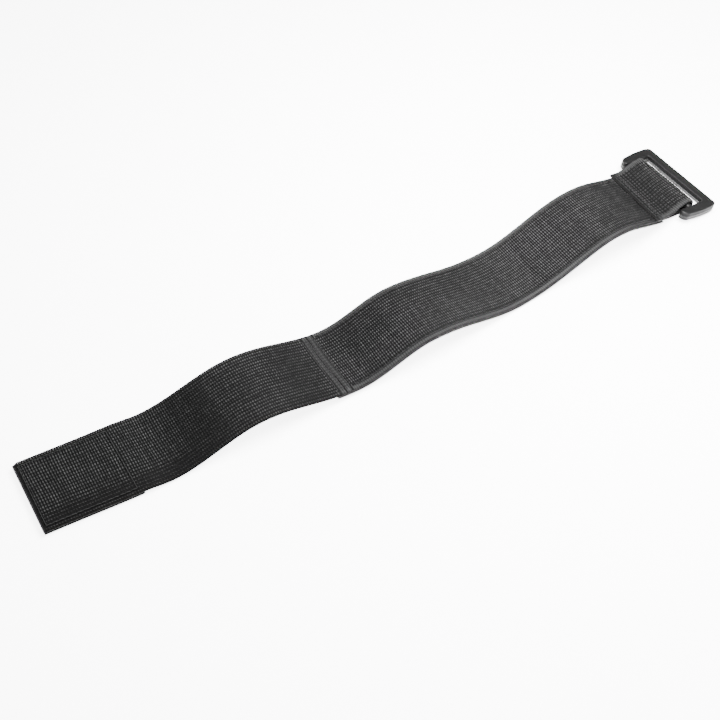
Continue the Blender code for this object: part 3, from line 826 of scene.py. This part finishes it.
def buckle_outline():
    """The closed plan outline, counter-clockwise, in steps of about half a millimetre."""
    front = arm_side(OUTER_EDGE_X)
    back = arm_side(ARM_BACK_X + BACK_CORNER_RADIUS)
    bar_y = np.arange(0, front - FRONT_CORNER_RADIUS, OUTLINE_STEP)
    far = [np.stack([np.full_like(bar_y, OUTER_EDGE_X), bar_y], -1)]
    centre = (OUTER_EDGE_X - FRONT_CORNER_RADIUS, front - FRONT_CORNER_RADIUS)
    far.append(arc(centre, FRONT_CORNER_RADIUS, 0, 90, 9))
    arm_front = OUTER_EDGE_X - 1.5 * FRONT_CORNER_RADIUS
    x = np.arange(arm_front, ARM_BACK_X + 2 * BACK_CORNER_RADIUS, -OUTLINE_STEP)
    far.append(np.stack([x, arm_side(x)], -1))
    centre = (ARM_BACK_X + BACK_CORNER_RADIUS, back - BACK_CORNER_RADIUS)
    far.append(arc(centre, BACK_CORNER_RADIUS, 90, 180, 14))
    centre = (ARM_BACK_X + BACK_INNER_RADIUS, WINDOW_HALF_WIDTH + BACK_INNER_RADIUS)
    far.append(arc(centre, BACK_INNER_RADIUS, 180, 270, 8))
    x = np.arange(centre[0] + OUTLINE_STEP, WINDOW_END_X - WINDOW_CORNER_RADIUS, OUTLINE_STEP)
    far.append(np.stack([x, np.full_like(x, WINDOW_HALF_WIDTH)], -1))
    centre = (WINDOW_END_X - WINDOW_CORNER_RADIUS, WINDOW_HALF_WIDTH - WINDOW_CORNER_RADIUS)
    far.append(arc(centre, WINDOW_CORNER_RADIUS, 90, 0, 5))
    bar_y = np.arange(centre[1] - OUTLINE_STEP, OUTLINE_STEP / 2, -OUTLINE_STEP)
    far.append(np.stack([np.full_like(bar_y, WINDOW_END_X), bar_y], -1))
    far.append(np.array([[WINDOW_END_X, 0.0]]))
    far = np.concatenate(far)
    return np.concatenate([far, (far * (1, -1))[-2:0:-1]])


def make_buckle():
    """One moulding with rounded edges and a fine parting line, and the round bar between its arms."""
    plan = buckle_outline()
    count = len(plan)
    along = np.roll(plan, -1, 0) - np.roll(plan, 1, 0)
    along /= np.linalg.norm(along, axis=1)[:, None]
    outward = np.stack([along[:, 1], -along[:, 0]], -1)
    inner = np.abs(plan[:, 1]) < WINDOW_HALF_WIDTH - WINDOW_CORNER_RADIUS / 2
    inner = inner * (np.abs(plan[:, 0] - WINDOW_END_X) < MM)
    half = BUCKLE_THICK / 2
    phi = np.linspace(math.pi / 2, 0, 7)
    levels = [(half - EDGE_ROUND * (1 - math.sin(p)), EDGE_ROUND * (1 - math.cos(p))) for p in phi]
    levels += [(PARTING_Z + 0.12 * MM, 0.0), (PARTING_Z + 0.04 * MM, -0.06 * MM)]
    levels += [(PARTING_Z - 0.04 * MM, -0.06 * MM), (PARTING_Z - 0.12 * MM, 0.0)]
    levels += [(-z, inset) for z, inset in reversed(levels[:7])]
    rings = []
    for z, inset in levels:
        lean = UNDERCUT * np.clip((PARTING_Z - z) / (PARTING_Z + half), 0, 1) * inner
        ring = plan - outward * inset + np.stack([lean, 0 * lean], -1)
        rings.append(np.column_stack([ring, np.full(count, z)]))
    verts = np.concatenate(rings)
    rows = len(levels)
    faces = ring_faces(rows, count)
    fill = delaunay_2d_cdt([Vector(p) for p in plan], [], [list(range(count))], 1, 1e-9)[2]
    walls = len(faces)
    faces += [tuple(f)[::-1] for f in fill]
    faces += [tuple((rows - 1) * count + k for k in f) for f in fill]
    caps = range(walls, len(faces))
    bar = np.linspace(-WINDOW_HALF_WIDTH - 1.5 * MM, WINDOW_HALF_WIDTH + 1.5 * MM, 40)
    bar_points = np.stack([0 * bar, bar, 0 * bar], -1)
    bar_verts, bar_faces = tube(bar_points, BAR_RADIUS, 32, up=(1.0, 0.0, 0.0))
    verts, faces = join([(verts, faces), (bar_verts, bar_faces)])
    uv = np.stack([verts[:, 0], verts[:, 1]], -1)
    obj = mesh_object("moulded_buckle", verts, faces, PLASTIC, uv, caps)
    obj.data.materials.append(PLASTIC_SIDE_PAINTED_SHADE)
    obj.data.materials.append(PLASTIC_UNDERCUT_PAINTED_SHADE)
    # painted shade: the undercut below the parting line and the side walls take the duller copies of the
    # plastic
    for poly in obj.data.polygons[:walls]:
        level, column = divmod(poly.index, count)
        if inner[column] and levels[level][0] < PARTING_Z:
            poly.material_index = 2
        elif 4 < level < rows - 6:
            poly.material_index = 1
    bm = bmesh.new()
    bm.from_mesh(obj.data)
    bmesh.ops.recalc_face_normals(bm, faces=bm.faces)
    bm.to_mesh(obj.data)
    bm.free()
    drop = LOOP_Z - REST_GAP - BUCKLE_THICK / 2
    obj.location = (LOOP_X - ORIGIN_X, BUCKLE_Y - ORIGIN_Y, LOOP_Z)
    obj.rotation_euler = (0.0, math.asin(drop / OUTER_EDGE_X), 0.0)
    return obj


buckle = make_buckle()
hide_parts("loop_buckle")
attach(buckle, "buckle")

# ---- stage, light and camera -----------------------------------------------------------------------------
bm = bmesh.new()
bmesh.ops.create_grid(bm, x_segments=2, y_segments=2, size=3.0)
floor_mesh = bpy.data.meshes.new("floor")
bm.to_mesh(floor_mesh)
bm.free()
floor = bpy.data.objects.new("floor", floor_mesh)
bpy.context.scene.collection.objects.link(floor)
ground = Nodes("pale_floor")
ground.set(Base_Color=(0.93, 0.93, 0.93, 1.0), Roughness=0.9, Specular_IOR_Level=0.1)
ground.set(Emission_Color=(1.0, 1.0, 1.0, 1.0), Emission_Strength=6.0)
floor_mesh.materials.append(ground.mat)

world = bpy.data.worlds.new("studio")
world.use_nodes = True
world.node_tree.nodes["Background"].inputs["Color"].default_value = (1.0, 1.0, 1.0, 1.0)
world.node_tree.nodes["Background"].inputs["Strength"].default_value = 0.35
bpy.context.scene.world = world


def softbox(name, place, target, size, power):
    light = bpy.data.lights.new(name, "AREA")
    light.shape = "RECTANGLE"
    light.size = light.size_y = size
    light.energy = power
    obj = bpy.data.objects.new(name, light)
    obj.location = place
    obj.rotation_euler = (Vector(target) - Vector(place)).to_track_quat("-Z", "Y").to_euler()
    bpy.context.scene.collection.objects.link(obj)


softbox("key", (0.12, -0.02, 0.38), (0.08, 0.0, 0.0), 0.30, 14.0)
softbox("fill", (0.9, -0.7, 0.9), (0.05, 0.0, 0.0), 0.9, 8.0)
softbox("edge", (-0.35, 0.32, 0.50), (0.18, 0.0, 0.0), 0.10, 0.8)

camera_data = bpy.data.cameras.new("camera")
camera_data.lens = 50.0
camera_data.sensor_width = 36.0
camera = bpy.data.objects.new("camera", camera_data)
camera.location = (-0.18118, -0.25745, 0.3717)
camera.rotation_euler = (math.radians(38.0), 0.0, math.radians(-32.0))
bpy.context.scene.collection.objects.link(camera)
bpy.context.scene.camera = camera
